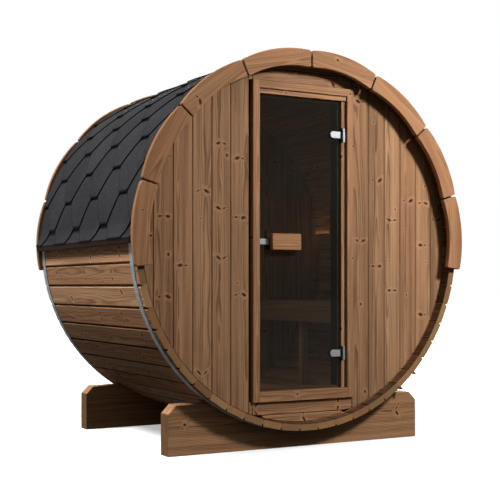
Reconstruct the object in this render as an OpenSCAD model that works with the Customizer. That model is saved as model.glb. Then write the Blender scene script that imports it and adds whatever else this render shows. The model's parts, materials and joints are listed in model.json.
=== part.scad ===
// Barrel sauna: a lying barrel of staves on two cradles, with a glass door in
// its recessed front wall and a shingled roof over its upper half.
// X runs across the front, +Y runs from the door to the back, +Z is up.
// The origin is on the ground under the middle of the barrel.

/* [Barrel] */
// Outer radius of the ring of staves
barrel_r = 1000; // [980:5:1200]
// Thickness of a stave
stave_t = 40; // [28:1:50]
// Length of a stave
stave_len = 1440; // [1200:10:2400]
// Height of the barrel's underside above the ground
ground_gap = 94; // [60:1:140]
// How far each end wall is set in from the ends of the staves
wall_set_in = 57; // [30:1:120]
// Thickness of the end walls
wall_t = 40; // [28:1:50]

/* [Trim boards] */
// Thickness of the curved boards on the ends of the staves
trim_t = 30; // [18:1:40]
// Width of a curved board, measured towards the axis
trim_w = 91; // [70:1:110]
// How far the corners of the boards stand out from the staves
trim_out = 17; // [13:1:30]
// Distance from the axis to the centre of each board's curve, which gives its belly
trim_belly = 300; // [0:10:400]
// Angle that one board covers
trim_angle = 24.5; // [20:0.5:25]
// Gap between neighbouring boards
trim_gap = 3; // [0:0.5:6]

/* [Hoops] */
// Width of a steel hoop
hoop_w = 41; // [25:1:60]
// Thickness of a steel hoop
hoop_t = 3; // [2:0.5:5]
// Distance from the front ends of the staves to the front hoop
hoop_front_in = 35; // [20:1:45]
// Distance from the rear ends of the staves to the rear hoop
hoop_rear_in = 20; // [15:1:45]
// Angle below the horizontal at the middle of the tightener
tight_angle = 48; // [30:1:60]
// Length of the tightening bolt
tight_len = 190; // [120:5:260]
// Height of the two bent ends of the hoop that the bolt pulls together
lug_h = 40; // [25:1:60]
// Diameter of the tightening bolt
tight_d = 10; // [6:1:16]

/* [Cradles] */
// Length of a cradle across the barrel
cradle_len = 1564; // [1300:2:1800]
// Height of a cradle
cradle_h = 259; // [200:1:320]
// Thickness of a cradle
cradle_t = 89; // [60:1:120]
// Size of the sloped corner at each end of a cradle
cradle_chamfer = 46; // [10:1:90]
// Gap between a hoop and the near face of a cradle
cradle_gap = 16; // [5:1:100]

/* [Roof] */
// Thickness of the shingle cover
cover_t = 12; // [8:1:16]
// Thickness of the batten under the lower edge of the shingles
eave_t = 31; // [15:1:35]
// Height of that batten
eave_h = 30; // [20:1:60]
// Height of the batten's top above the barrel's axis
eave_top = 8; // [0:1:40]
// Height over which the shingles sweep out to the batten
flare_h = 90; // [60:5:150]

/* [Door frame] */
// Outer width of the door frame
frame_w = 632; // [560:2:800]
// Height of the wall over the door frame, at its middle
over_door = 113; // [100:1:250]
// Height of the wall under the door frame, at its middle
under_door = 120; // [100:1:200]
// Depth of the frame from front to back
frame_depth = 100; // [70:1:120]
// How far the frame stands proud of the front wall
frame_proud = 15; // [5:1:30]
// Width of a stile and of the head, seen from the front
stile_w = 40; // [30:1:60]
// Height of the bottom rail
rail_h = 52; // [40:1:80]
// Height of the stepped moulding under the head
step_h = 26; // [10:1:40]
// How far that moulding is set back from the frame's face
step_back = 10; // [2:1:18]
// Width of the batten that carries the hinges
batten_w = 22; // [18:1:30]
// Width of the groove between that batten and the stile
groove_w = 6; // [3:1:12]
// Gap between the hinge clamps and the stop behind the glass
stop_gap = 7; // [6:0.5:12]
// How far the stop reaches into the doorway
stop_lap = 14; // [10:1:20]

/* [Door] */
// Thickness of the glass
glass_t = 8; // [6:1:10]
// How far the glass is set back from the frame's face
glass_back = 20; // [20:1:22]
// Gap around the glass
door_gap = 6; // [6:0.5:8]
// Height of the lower hinge's middle above the frame's foot
hinge_up = 242; // [120:1:400]
// Distance from the upper hinge's middle to the frame's top
hinge_down = 253; // [150:1:400]
// Length of a hinge clamp along the glass
clamp_len = 72; // [50:1:100]
// Height of a hinge clamp
clamp_h = 44; // [30:1:60]
// Thickness of the clamp's cheek in front of the glass
clamp_front_t = 8; // [5:1:9]
// Thickness of the clamp's cheek behind the glass
clamp_rear_t = 5; // [3:1:6]
// Height of the hinge plate on the batten
plate_h = 76; // [70:1:100]
// Thickness of the hinge plate
plate_t = 4; // [3:0.5:6]
// Diameter of the hinge pin
pin_d = 6; // [4:0.5:7]
// Running clearance around the pin
pin_play = 0.3; // [0.2:0.1:0.5]
// Outer diameter of the hinge knuckle
knuckle_d = 14; // [12:1:16]
// Width of the wooden handle
handle_w = 177; // [120:1:240]
// Height of the wooden handle
handle_h = 87; // [50:1:120]
// Thickness of the wooden handle
handle_t = 30; // [20:1:40]
// Distance from the glass to the handle
handle_off = 12; // [5:1:30]
// Distance from the glass's free edge to the handle
handle_edge = 58; // [50:1:90]
// Height of the handle's middle above the frame's foot
handle_up = 842; // [650:1:950]
// Diameter of the handle bolts
handle_bolt_d = 16; // [10:1:20]
// Length of the metal catch along the glass
catch_len = 56; // [30:1:57]
// Height of the metal catch
catch_h = 30; // [20:1:50]
// Thickness of the metal catch
catch_t = 6; // [3:1:10]

/* [Inside] */
// Thickness of the floor
floor_t = 28; // [20:1:45]
// Height of the bench's top above the floor
bench_h = 516; // [350:1:600]
// Thickness of the bench's seat
bench_t = 28; // [20:1:45]
// Depth of the bench from its front board to the staves
bench_w = 500; // [400:5:560]
// Height of the bench's front board
apron_h = 126; // [80:1:200]
// Thickness of the bench's front board
apron_t = 26; // [18:1:40]
// Side of the square bench leg
leg_side = 38; // [30:1:90]
// Distance from the front wall to the bench leg
leg_y = 654; // [300:2:900]
// Distance from the staves to the face of the backrest, where they are nearest
back_off = 58; // [40:1:150]
// Thickness of a backrest board
back_t = 20; // [15:1:25]
// Height of the backrest's foot above the bench
back_z = 62; // [20:1:120]
// Height of the two wide backrest boards
back_wide = 89; // [50:1:100]
// Height of the three narrow backrest boards
back_narrow = 50; // [30:1:60]
// Gap between backrest boards
back_gap = 10; // [5:1:20]
// Distance from the front wall to the backrest
back_y = 200; // [100:5:400]
// Distance from the backrest to the back wall
back_end = 120; // [50:5:300]
// Distance from the staves to the face of the lamp screen, at its top
lamp_off = 17; // [14:1:40]
// Gap between the backrest and the lamp screen over it
lamp_up = 15; // [5:1:60]
// Length of the lamp screen from the back wall
lamp_len = 220; // [150:5:320]
// Height of a slat of the lamp screen
lamp_slat_h = 48; // [30:1:50]
// Gap between the slats of the lamp screen
lamp_gap = 10; // [5:1:12]
// Thickness of the lamp screen's wood
lamp_t = 12; // [8:1:15]

/* [Hidden] */
$fn = 64;
// Facets of the large round shapes
ROUND = 256;
// Staves in each group of the wall, from the bottom round by the right
GROUPS = [9, 6, 6, 6, 9, 6, 6, 6];
STAVES = 54;
STAVE_ANGLE = 360 / STAVES;
// Overlength of a cutting shape beyond what it cuts
CUT = 1;
// Distance from the glass's hinged edge to the pin's axis
HINGE_OUT = 5;
// Running gap between a hinge clamp and its plate
FREE = 1;
// How far the shingles' lower edge stands past the eave batten
FLARE_LIP = 7;
// How far the eave's pieces reach into the staves before the staves cut them
EAVE_IN = 20;
// Steps of the curve along which the shingles sweep out
FLARE_STEPS = 12;
// Radius of the bolt that joins a clamp's two cheeks
CLAMP_BOLT_R = 5;
// Distance from the handle's ends to its bolts
HANDLE_BOLT_IN = 35;
// Number of curved boards on each end
TRIM_BOARDS = 8;
// Width of a backrest post
POST_W = 40;
LAMP_SLATS = 4;

inner_r = barrel_r - stave_t;
axis_z = ground_gap + barrel_r;
front_y = -stave_len / 2;
rear_y = stave_len / 2;
front_wall_y = front_y + wall_set_in;
back_wall_y = rear_y - wall_set_in - wall_t;
room_front_y = front_wall_y + wall_t;
room_len = back_wall_y - room_front_y;

frame_y = front_wall_y - frame_proud;
frame_x = frame_w / 2;
frame_z = ground_gap + stave_t + under_door;
frame_top = axis_z + inner_r - over_door;
frame_h = frame_top - frame_z;
stile_x = frame_x - stile_w;
batten_x = stile_x - groove_w - batten_w;
opening_low = frame_z + rail_h;
opening_high = frame_top - stile_w - step_h;

glass_left = -stile_x + door_gap;
glass_right = batten_x - door_gap;
glass_low = opening_low + door_gap;
glass_high = opening_high - door_gap;
glass_y = frame_y + glass_back;
pin_r = pin_d / 2;
knuckle_r = knuckle_d / 2;
hinge_x = glass_right + HINGE_OUT;
hinge_y = glass_y - clamp_front_t - FREE;
hinge_low_z = frame_z + hinge_up;
hinge_high_z = frame_top - hinge_down;
plate_x = hinge_x + knuckle_r + FREE;
batten_y = hinge_y + knuckle_r + FREE;
stop_y = glass_y + glass_t + clamp_rear_t + stop_gap;
clamp_x = glass_right - clamp_len;
handle_x = glass_left + handle_edge;
handle_z = frame_z + handle_up;
handle_bolts_x = [handle_x + HANDLE_BOLT_IN, handle_x + handle_w - HANDLE_BOLT_IN];

cradle_in = max(hoop_front_in, hoop_rear_in) + hoop_w + cradle_gap;

// Angle above the horizontal at which the shingles leave the barrel
flare_angle = asin((eave_top + flare_h) / (barrel_r + cover_t));
// Outer face of the shingles' lower edge
flare_x = barrel_r + eave_t + FLARE_LIP;
trim_corner_r = barrel_r + trim_out;
trim_half = trim_angle / 2 - asin(trim_gap / 2 / trim_corner_r);
trim_outer_r = norm([
    trim_corner_r * cos(trim_half) - trim_belly,
    trim_corner_r * sin(trim_half)
]);
trim_inner_r = trim_outer_r - trim_w;

// Half the angle between the two bent ends of a hoop
LUG_HALF = 3.4;
LUG_T = 5;
NUT_R = 9;
NUT_H = 9;
// Extra width of the hole for the tightening bolt
TIGHT_PLAY = 1;
tight_r = barrel_r + lug_h / 2;
// Distance from the middle of a tightener to the near face of a bent end
lug_y = barrel_r * sin(LUG_HALF);
// Where a bent end starts, halfway through the hoop's thickness
lug_foot = sqrt(pow(barrel_r + hoop_t / 2, 2) - pow(lug_y, 2));

floor_z = frame_z - floor_t;
bench_z = frame_z + bench_h;
bench_x = ring_x(bench_z) - bench_w;
back_rows = [back_wide, back_narrow, back_narrow, back_narrow, back_wide];
back_low = bench_z + back_z;
back_high = back_row_z(len(back_rows) - 1) + back_wide;
back_x = min(ring_x(back_low), ring_x(back_high)) - back_off;
back_len = room_len - back_y - back_end;
lamp_z = back_high + lamp_up;
lamp_h = LAMP_SLATS * (lamp_slat_h + lamp_gap) - lamp_gap;
lamp_x = ring_x(lamp_z + lamp_h) - lamp_off;

// How far out the inner face of the staves is at a height above the ground
function ring_x(z) = sqrt(pow(inner_r, 2) - pow(z - axis_z, 2));

function back_row_z(i) = back_low + sum(back_rows, i) + i * back_gap;

function sum(list, count) = count == 0 ? 0 : list[count - 1] + sum(list, count - 1);

// Turns a shape drawn on XY, standing on Z, so that it lies along the barrel from y
module lying(y, len) {
    translate([0, y + len, axis_z])
        rotate([90, 0, 0])
            children();
}

module shell(r_in, r_out, from, to, y, len) {
    lying(y, len)
        rotate_extrude(angle = to - from, start = from, $fn = ROUND)
            translate([r_in, 0])
                square([r_out - r_in, len]);
}

module round_bar(r, y, len) {
    lying(y, len)
        cylinder(r = r, h = len, $fn = ROUND);
}

module staves(group) {
    first = -90 - GROUPS[0] * STAVE_ANGLE / 2;
    from = first + sum(GROUPS, group) * STAVE_ANGLE;
    to = from + GROUPS[group] * STAVE_ANGLE;
    color("peru")
        shell(inner_r, barrel_r, from, to, front_y, stave_len);
}

// A piece of the front wall: the round wall cut down to one box
module wall_piece(x, z, width, height) {
    color("burlywood")
        intersection() {
            round_bar(inner_r, front_wall_y, wall_t);
            translate([x, front_wall_y - CUT, z])
                cube([width, wall_t + 2 * CUT, height]);
        }
}

module front_wall_left() {
    wall_piece(-inner_r, 0, inner_r - frame_x, 2 * axis_z);
}

module front_wall_right() {
    wall_piece(frame_x, 0, inner_r - frame_x, 2 * axis_z);
}

module front_wall_header() {
    wall_piece(-frame_x, frame_top, frame_w, axis_z);
}

module front_wall_sill() {
    wall_piece(-frame_x, 0, frame_w, frame_z);
}

module back_wall() {
    color("burlywood")
        round_bar(inner_r, back_wall_y, wall_t);
}

// An upright of the frame with its stop, drawn for the right side; lap is the
// distance from the upright to the edge of the stop
module frame_upright(lap) {
    translate([0, 0, frame_z])
        linear_extrude(frame_h)
            polygon([
                [stile_x, frame_y],
                [frame_x, frame_y],
                [frame_x, frame_y + frame_depth],
                [stile_x - lap, frame_y + frame_depth],
                [stile_x - lap, stop_y],
                [stile_x, stop_y]
            ]);
}

module door_frame_left() {
    color("sandybrown")
        mirror([1, 0, 0])
            frame_upright(stop_lap);
}

module door_frame_right() {
    color("sandybrown")
        frame_upright(groove_w + batten_w + stop_lap);
}

// A rail of the frame between the uprights, from an outline with y across and z up;
// behind the stops it is shorter by their laps
module frame_rail(outline, stop_outline) {
    translate([-stile_x, 0, 0])
        rotate([90, 0, 90])
            linear_extrude(2 * stile_x)
                polygon(outline);
    translate([-stile_x + stop_lap, 0, 0])
        rotate([90, 0, 90])
            linear_extrude(2 * stile_x - 2 * stop_lap - groove_w - batten_w)
                polygon(stop_outline);
}

module door_frame_head() {
    color("sandybrown")
        frame_rail(
            [
                [frame_y, frame_top - stile_w],
                [frame_y + step_back, frame_top - stile_w],
                [frame_y + step_back, opening_high],
                [stop_y, opening_high],
                [stop_y, frame_top],
                [frame_y, frame_top]
            ],
            [
                [stop_y, opening_high - stop_lap],
                [frame_y + frame_depth, opening_high - stop_lap],
                [frame_y + frame_depth, frame_top],
                [stop_y, frame_top]
            ]
        );
}

module door_frame_sill() {
    color("sandybrown")
        frame_rail(
            [
                [frame_y, frame_z],
                [stop_y, frame_z],
                [stop_y, opening_low],
                [frame_y, opening_low]
            ],
            [
                [stop_y, frame_z],
                [frame_y + frame_depth, frame_z],
                [frame_y + frame_depth, opening_low + stop_lap],
                [stop_y, opening_low + stop_lap]
            ]
        );
}

module hinge_batten() {
    color("sandybrown")
        translate([batten_x, batten_y, opening_low])
            cube([batten_w, stop_y - batten_y, opening_high - opening_low]);
}

module at_hinges() {
    for (z = [hinge_low_z, hinge_high_z])
        translate([hinge_x, hinge_y, z])
            children();
}

// Plate screwed to the batten, with an ear at each end that holds the pin
module hinge_plate() {
    translate([plate_x - hinge_x, batten_y - plate_t - hinge_y, -plate_h / 2])
        cube([batten_x + batten_w - plate_x, plate_t, plate_h]);
    ear_h = (plate_h - clamp_h) / 2 - FREE;
    for (z = [-plate_h / 2, plate_h / 2 - ear_h])
        translate([0, 0, z]) {
            cylinder(r = knuckle_r, h = ear_h);
            cube([plate_x - hinge_x + FREE, batten_y - hinge_y, ear_h]);
        }
    translate([0, 0, -plate_h / 2])
        cylinder(r = pin_r, h = plate_h);
}

module hinge_plates() {
    color("silver")
        at_hinges()
            hinge_plate();
}

// A cheek of the clamp: a plate with a round free end, lying on the glass
module clamp_cheek(y, thick) {
    translate([clamp_x + clamp_h / 2, y + thick, 0])
        rotate([90, 0, 0])
            cylinder(r = clamp_h / 2, h = thick);
    translate([clamp_x + clamp_h / 2, y, -clamp_h / 2])
        cube([clamp_len - clamp_h / 2, thick, clamp_h]);
}

module clamp_bolt(r) {
    translate([clamp_x + clamp_h / 2, glass_y - CUT, 0])
        rotate([-90, 0, 0])
            cylinder(r = r, h = glass_t + 2 * CUT);
}

module hinge_clamp() {
    difference() {
        union() {
            clamp_cheek(glass_y - clamp_front_t, clamp_front_t);
            clamp_cheek(glass_y + glass_t, clamp_rear_t);
            clamp_bolt(CLAMP_BOLT_R);
            translate([hinge_x, hinge_y, -clamp_h / 2])
                cylinder(r = knuckle_r, h = clamp_h);
            translate([hinge_x - 2 * HINGE_OUT, hinge_y, -clamp_h / 2])
                cube([2 * HINGE_OUT, knuckle_r, clamp_h]);
        }
        translate([hinge_x, hinge_y, -clamp_h])
            cylinder(r = pin_r + pin_play, h = 2 * clamp_h);
    }
}

module hinge_clamps() {
    color("silver")
        for (z = [hinge_low_z, hinge_high_z])
            translate([0, 0, z])
                hinge_clamp();
}

module door_glass() {
    color([0.25, 0.2, 0.17, 0.85])
        difference() {
            translate([glass_left, glass_y, glass_low])
                cube([glass_right - glass_left, glass_t, glass_high - glass_low]);
            for (z = [hinge_low_z, hinge_high_z])
                translate([0, 0, z])
                    clamp_bolt(CLAMP_BOLT_R);
            for (x = handle_bolts_x)
                translate([x, glass_y - CUT, handle_z])
                    rotate([-90, 0, 0])
                        cylinder(d = handle_bolt_d, h = glass_t + 2 * CUT);
        }
}

module door_catch() {
    color("silver")
        translate([glass_left, glass_y - catch_t, handle_z - catch_h / 2])
            cube([catch_len, catch_t, catch_h]);
}

module door_handle() {
    color("tan")
        for (y = [glass_y - handle_off - handle_t, glass_y + glass_t + handle_off])
            translate([handle_x, y, handle_z - handle_h / 2])
                cube([handle_w, handle_t, handle_h]);
}

module handle_bolts() {
    color("silver")
        for (x = handle_bolts_x)
            translate([x, glass_y - handle_off, handle_z])
                rotate([-90, 0, 0])
                    cylinder(d = handle_bolt_d, h = glass_t + 2 * handle_off);
}

// A frame with +X out through the middle of a tightener and +Y along its bolt
module at_tightener(y) {
    lying(y, hoop_w)
        rotate([0, 0, -tight_angle])
            translate([0, 0, hoop_w / 2])
                children();
}

module tight_rod(d, len) {
    translate([tight_r, -len / 2, 0])
        rotate([-90, 0, 0])
            cylinder(d = d, h = len);
}

// A steel band round the staves, open between its two bent ends
module hoop(y) {
    color("lightsteelblue")
        difference() {
            union() {
                shell(barrel_r, barrel_r + hoop_t, -tight_angle + LUG_HALF,
                    360 - tight_angle - LUG_HALF, y, hoop_w);
                at_tightener(y)
                    for (side = [0, 1])
                        mirror([0, side, 0])
                            translate([lug_foot, lug_y, -hoop_w / 2])
                                cube([barrel_r + lug_h - lug_foot, LUG_T, hoop_w]);
            }
            at_tightener(y)
                tight_rod(tight_d + TIGHT_PLAY, tight_len);
        }
}

// The bolt and nuts that pull the bent ends together
module tightener(y) {
    color("silver")
        at_tightener(y) {
            tight_rod(tight_d, tight_len);
            for (side = [0, 1])
                mirror([0, side, 0])
                    translate([tight_r, lug_y + LUG_T, 0])
                        rotate([-90, 0, 0])
                            cylinder(r = NUT_R, h = NUT_H, $fn = 6);
        }
}

module hoop_front() {
    hoop(front_y + hoop_front_in);
}

module hoop_rear() {
    hoop(rear_y - hoop_rear_in - hoop_w);
}

module tightener_front() {
    tightener(front_y + hoop_front_in);
}

module tightener_rear() {
    tightener(rear_y - hoop_rear_in - hoop_w);
}

module cradle(y) {
    half = cradle_len / 2;
    color("saddlebrown")
        difference() {
            translate([0, y + cradle_t, 0])
                rotate([90, 0, 0])
                    linear_extrude(cradle_t)
                        polygon([
                            [-half, 0],
                            [half, 0],
                            [half, cradle_h - cradle_chamfer],
                            [half - cradle_chamfer, cradle_h],
                            [-half + cradle_chamfer, cradle_h],
                            [-half, cradle_h - cradle_chamfer]
                        ]);
            round_bar(barrel_r, y - CUT, cradle_t + 2 * CUT);
        }
}

module cradle_front() {
    cradle(front_y + cradle_in);
}

module cradle_rear() {
    cradle(rear_y - cradle_in - cradle_t);
}

// What the hoops take away from anything laid on the staves
module hoop_grooves() {
    round_bar(barrel_r + hoop_t, front_y + hoop_front_in, hoop_w);
    round_bar(barrel_r + hoop_t, rear_y - hoop_rear_in - hoop_w, hoop_w);
}

// Outline of the sweep from the barrel out to the eave, on the right side: down
// the outer face, then back up along the staves
function flare_outline() =
    let (
        top_x = (barrel_r + cover_t) * cos(flare_angle),
        top_z = (barrel_r + cover_t) * sin(flare_angle),
        slope = -tan(flare_angle) * flare_h,
        rise = flare_x - top_x
    )
    concat(
        [for (i = [0 : FLARE_STEPS])
            let (t = i / FLARE_STEPS)
            [top_x - slope * t + (rise + slope) * t * t, top_z - t * (top_z - eave_top)]],
        [[barrel_r - EAVE_IN, eave_top], [barrel_r - EAVE_IN, top_z]]
    );

// Half of the roof, on the right: a shell over the staves and the swept-out foot
module roof_cover() {
    color("dimgray")
        difference() {
            union() {
                shell(barrel_r, barrel_r + cover_t, flare_angle, 90, front_y, stave_len);
                lying(front_y, stave_len)
                    linear_extrude(stave_len)
                        polygon(flare_outline());
            }
            round_bar(barrel_r, front_y - CUT, stave_len + 2 * CUT);
            hoop_grooves();
        }
}

module roof_cover_left() {
    mirror([1, 0, 0])
        roof_cover();
}

module roof_cover_right() {
    roof_cover();
}

module eave_batten_right() {
    color("sienna")
        difference() {
            translate([barrel_r - EAVE_IN, front_y, axis_z + eave_top - eave_h])
                cube([eave_t + EAVE_IN, stave_len, eave_h]);
            round_bar(barrel_r, front_y - CUT, stave_len + 2 * CUT);
            hoop_grooves();
        }
}

module eave_batten_left() {
    mirror([1, 0, 0])
        eave_batten_right();
}

// One curved board, lying on XY with its middle on +X
module trim_board() {
    far = 2 * barrel_r;
    intersection() {
        difference() {
            translate([trim_belly, 0, 0])
                cylinder(r = trim_outer_r, h = trim_t, $fn = ROUND);
            translate([trim_belly, 0, -CUT])
                cylinder(r = trim_inner_r, h = trim_t + 2 * CUT, $fn = ROUND);
        }
        linear_extrude(trim_t)
            polygon([
                [0, 0],
                [far * cos(trim_half), -far * sin(trim_half)],
                [far * cos(trim_half), far * sin(trim_half)]
            ]);
    }
}

module trim_boards(y) {
    color("sandybrown")
        for (i = [0 : TRIM_BOARDS - 1])
            lying(y, trim_t)
                rotate([0, 0, 90 + (i - (TRIM_BOARDS - 1) / 2) * trim_angle])
                    trim_board();
}

module front_trim_boards() {
    trim_boards(front_y - trim_t);
}

module rear_trim_boards() {
    trim_boards(rear_y);
}

// What of a box lies inside the ring of staves
module inside_ring(corner, size) {
    intersection() {
        translate(corner)
            cube(size);
        round_bar(inner_r, room_front_y, room_len);
    }
}

module floor() {
    color("burlywood")
        inside_ring([-inner_r, room_front_y, floor_z], [2 * inner_r, room_len, floor_t]);
}

module bench_seat() {
    seat_x = bench_x + apron_t;
    color("wheat")
        inside_ring([seat_x, room_front_y, bench_z - bench_t],
            [inner_r - seat_x, room_len, bench_t]);
}

module bench_front_board() {
    color("wheat")
        translate([bench_x, room_front_y, bench_z - apron_h])
            cube([apron_t, room_len, apron_h]);
}

module bench_leg() {
    leg_x = bench_x + apron_t;
    color("wheat")
        inside_ring([leg_x, room_front_y + leg_y, frame_z],
            [leg_side, leg_side, bench_z - bench_t - frame_z]);
}

module backrest_boards() {
    color("wheat")
        for (i = [0 : len(back_rows) - 1])
            translate([back_x, room_front_y + back_y, back_row_z(i)])
                cube([back_t, back_len, back_rows[i]]);
}

module backrest_posts() {
    post_x = back_x + back_t;
    color("wheat")
        for (i = [0 : 2])
            inside_ring(
                [
                    post_x,
                    room_front_y + back_y + POST_W + i * (back_len - 3 * POST_W) / 2,
                    back_low
                ],
                [inner_r - post_x, POST_W, back_high - back_low]
            );
}

// A slatted screen across the corner, with the lamp behind it
module lamp_screen() {
    color("wheat") {
        for (i = [0 : LAMP_SLATS - 1])
            inside_ring(
                [lamp_x, back_wall_y - lamp_len, lamp_z + i * (lamp_slat_h + lamp_gap)],
                [lamp_t, lamp_len, lamp_slat_h]
            );
        inside_ring(
            [lamp_x + lamp_t, back_wall_y - lamp_len, lamp_z],
            [inner_r - lamp_x, lamp_t, lamp_h]
        );
    }
}

staves(0);  // staves_bottom
staves(1);  // staves_low_right
staves(2);  // staves_right
staves(3);  // staves_high_right
staves(4);  // staves_top
staves(5);  // staves_high_left
staves(6);  // staves_left
staves(7);  // staves_low_left
front_wall_left();
front_wall_right();
front_wall_header();
front_wall_sill();
back_wall();
door_frame_left();
door_frame_right();
door_frame_head();
door_frame_sill();
hinge_batten();
hinge_plates();
door_glass();
hinge_clamps();
door_catch();
door_handle();
handle_bolts();
hoop_front();
hoop_rear();
tightener_front();
tightener_rear();
cradle_front();
cradle_rear();
roof_cover_left();
roof_cover_right();
eave_batten_left();
eave_batten_right();
front_trim_boards();
rear_trim_boards();
floor();
bench_seat();
bench_front_board();
bench_leg();
backrest_boards();
backrest_posts();
lamp_screen();
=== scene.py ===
import json
import math
import random

import bmesh
import bpy
import numpy as np
from mathutils import Matrix, Vector


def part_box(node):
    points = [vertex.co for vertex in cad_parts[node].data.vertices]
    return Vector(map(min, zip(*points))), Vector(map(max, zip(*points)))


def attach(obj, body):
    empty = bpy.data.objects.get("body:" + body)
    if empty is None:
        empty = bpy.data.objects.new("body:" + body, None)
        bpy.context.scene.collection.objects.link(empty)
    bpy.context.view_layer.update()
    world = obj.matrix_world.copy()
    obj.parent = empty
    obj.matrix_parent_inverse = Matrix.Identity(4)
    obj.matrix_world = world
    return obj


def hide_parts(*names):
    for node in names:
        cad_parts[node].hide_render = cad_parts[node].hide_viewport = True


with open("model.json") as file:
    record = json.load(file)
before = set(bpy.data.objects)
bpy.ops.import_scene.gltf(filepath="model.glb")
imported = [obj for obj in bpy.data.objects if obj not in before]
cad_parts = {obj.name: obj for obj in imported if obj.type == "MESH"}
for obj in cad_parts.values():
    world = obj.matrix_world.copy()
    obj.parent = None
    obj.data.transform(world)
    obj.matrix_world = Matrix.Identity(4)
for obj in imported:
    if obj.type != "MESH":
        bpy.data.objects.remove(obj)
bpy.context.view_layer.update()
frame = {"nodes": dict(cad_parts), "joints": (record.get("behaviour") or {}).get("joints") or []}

# ---------------------------------------------------------------- cradles
# Two cradles carry the barrel, one near each end. Each is a pair of heavy pine
# planks, glued flat to flat and sawn out on top to the barrel's curve, with the
# upper corners cut off.


def fillet(outline, radius, steps=4, sharpest=25):
    """Rounds the sharp corners of a flat outline."""
    rounded, count = [], len(outline)
    for i, corner in enumerate(outline):
        corner = Vector(corner)
        back = Vector(outline[i - 1]) - corner
        on = Vector(outline[(i + 1) % count]) - corner
        turn = math.pi - back.angle(on)
        if math.degrees(turn) < sharpest:
            rounded.append(tuple(corner))
            continue
        cut = min(radius * math.tan(turn / 2), back.length * 0.49, on.length * 0.49)
        start, end = corner + back.normalized() * cut, corner + on.normalized() * cut
        for step in range(steps + 1):
            t = step / steps
            rounded.append(tuple(start * (1 - t) ** 2 + corner * 2 * t * (1 - t) + end * t * t))
    return rounded


def sawn_block(outline, thick, soften, steps, sharpest):
    """A solid cut to an outline in (u, v), thick along w, its sharp edges bevelled."""
    block = bmesh.new()
    foot = block.faces.new([block.verts.new((u, v, 0)) for u, v in outline])
    for vert in bmesh.ops.extrude_face_region(block, geom=[foot])["geom"]:
        if isinstance(vert, bmesh.types.BMVert):
            vert.co.z = thick
    bmesh.ops.recalc_face_normals(block, faces=block.faces)
    if soften:
        sharp = [e for e in block.edges if e.calc_face_angle(0) > math.radians(sharpest)]
        bmesh.ops.bevel(block, geom=sharp, offset=soften, offset_type="OFFSET", segments=steps,
                        profile=0.5, affect="EDGES", clamp_overlap=True)
    return block


def set_in_place(name, mesh, body, nodes, material):
    """Makes a mesh a piece of the model, in the stead of the CAD nodes named."""
    mesh.materials.append(material)
    piece = bpy.data.objects.new(name, mesh)
    bpy.context.collection.objects.link(piece)
    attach(piece, body)
    if nodes:
        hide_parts(*nodes)


class Timber:
    """Boards of one piece of joinery. Each remembers how its grain runs, how dark
    the board is, which faces are cut across the grain and which faces stand
    inside a joint, where shade is painted on."""

    def __init__(self, name, seed):
        self.name, self.chance = name, random.Random(seed)
        self.points, self.faces, self.grain, self.shade, self.sawn = [], [], [], [], []

    def cut(self, outline, thick, place, grain, soften=0.002, steps=2, sharpest=30,
            shade=None, joint=None, across=None):
        """Saws one board: an outline in (u, v), thick along w, set in place by a
        matrix. grain names the axis, 0, 1 or 2, that the fibres follow, across the
        one over the board's broad face, and joint the axis that the faces inside a
        joint look along; these faces are painted with shade."""
        block = sawn_block(outline, thick, soften, steps, sharpest)
        block.normal_update()
        block.verts.index_update()
        middle = sum((v.co for v in block.verts), Vector()) / len(block.verts)
        span = [max(v.co[k] for v in block.verts) - min(v.co[k] for v in block.verts) for k in range(3)]
        if across is None:
            across = max((k for k in range(3) if k != grain), key=lambda k: span[k])
        order = (grain, across, 3 - grain - across)
        turned = -1 if place.determinant() < 0 else 1
        start = len(self.points)
        slide = self.chance.uniform(0, 40)
        for vert in block.verts:
            self.points.append(tuple(place @ vert.co))
            own = vert.co - middle
            self.grain.append((own[order[0]] + slide, own[order[1]], own[order[2]]))
        tone = self.chance.random() if shade is None else shade
        for face in block.faces:
            self.faces.append([start + v.index for v in face.verts][::turned])
            self.shade.append(tone)
            # End grain is marked 1; faces inside a joint are marked -1 and get painted shade
            self.sawn.append(1.0 if abs(face.normal[grain]) > 0.75 else
                             -1.0 if joint is not None and abs(face.normal[joint]) > 0.85 else 0.0)
        block.free()

    def done(self, body, slot, nodes, material):
        mesh = bpy.data.meshes.new(self.name)
        mesh.from_pydata(self.points, [], self.faces)
        grain = mesh.attributes.new("grain", "FLOAT_VECTOR", "POINT")
        grain.data.foreach_set("vector", np.array(self.grain).ravel())
        for name, values in (("shade", self.shade), ("sawn", self.sawn)):
            mesh.attributes.new(name, "FLOAT", "FACE").data.foreach_set("value", values)
        set_in_place(self.name, mesh, body, nodes, material)


class Tone:
    """A shader value that changes over a surface. Arithmetic on it adds nodes."""

    def __init__(self, wiring, socket):
        self.wiring, self.socket = wiring, socket

    def __add__(self, other):
        return self.wiring.sum("ADD", self, other)

    def __sub__(self, other):
        return self.wiring.sum("SUBTRACT", self, other)

    def __rsub__(self, other):
        return self.wiring.sum("SUBTRACT", other, self)

    def __mul__(self, other):
        return self.wiring.sum("MULTIPLY", self, other)

    def __truediv__(self, other):
        return self.wiring.sum("DIVIDE", self, other)

    def __abs__(self):
        return self.wiring.sum("ABSOLUTE", self)

    __radd__, __rmul__ = __add__, __mul__

    def root(self):
        return self.wiring.sum("SQRT", self)

    def fract(self):
        return self.wiring.sum("FRACT", self)

    def clamped(self):
        """Keeps the last sum between 0 and 1."""
        self.socket.node.use_clamp = True
        return self

    def ramp(self, low, high, to_low=0.0, to_high=1.0):
        """A smooth step from to_low, at low, up or down to to_high, at high."""
        return self.wiring.put("ShaderNodeMapRange", interpolation_type="SMOOTHSTEP", inputs={
            "Value": self, "From Min": low, "From Max": high, "To Min": to_low, "To Max": to_high})[0]


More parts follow.
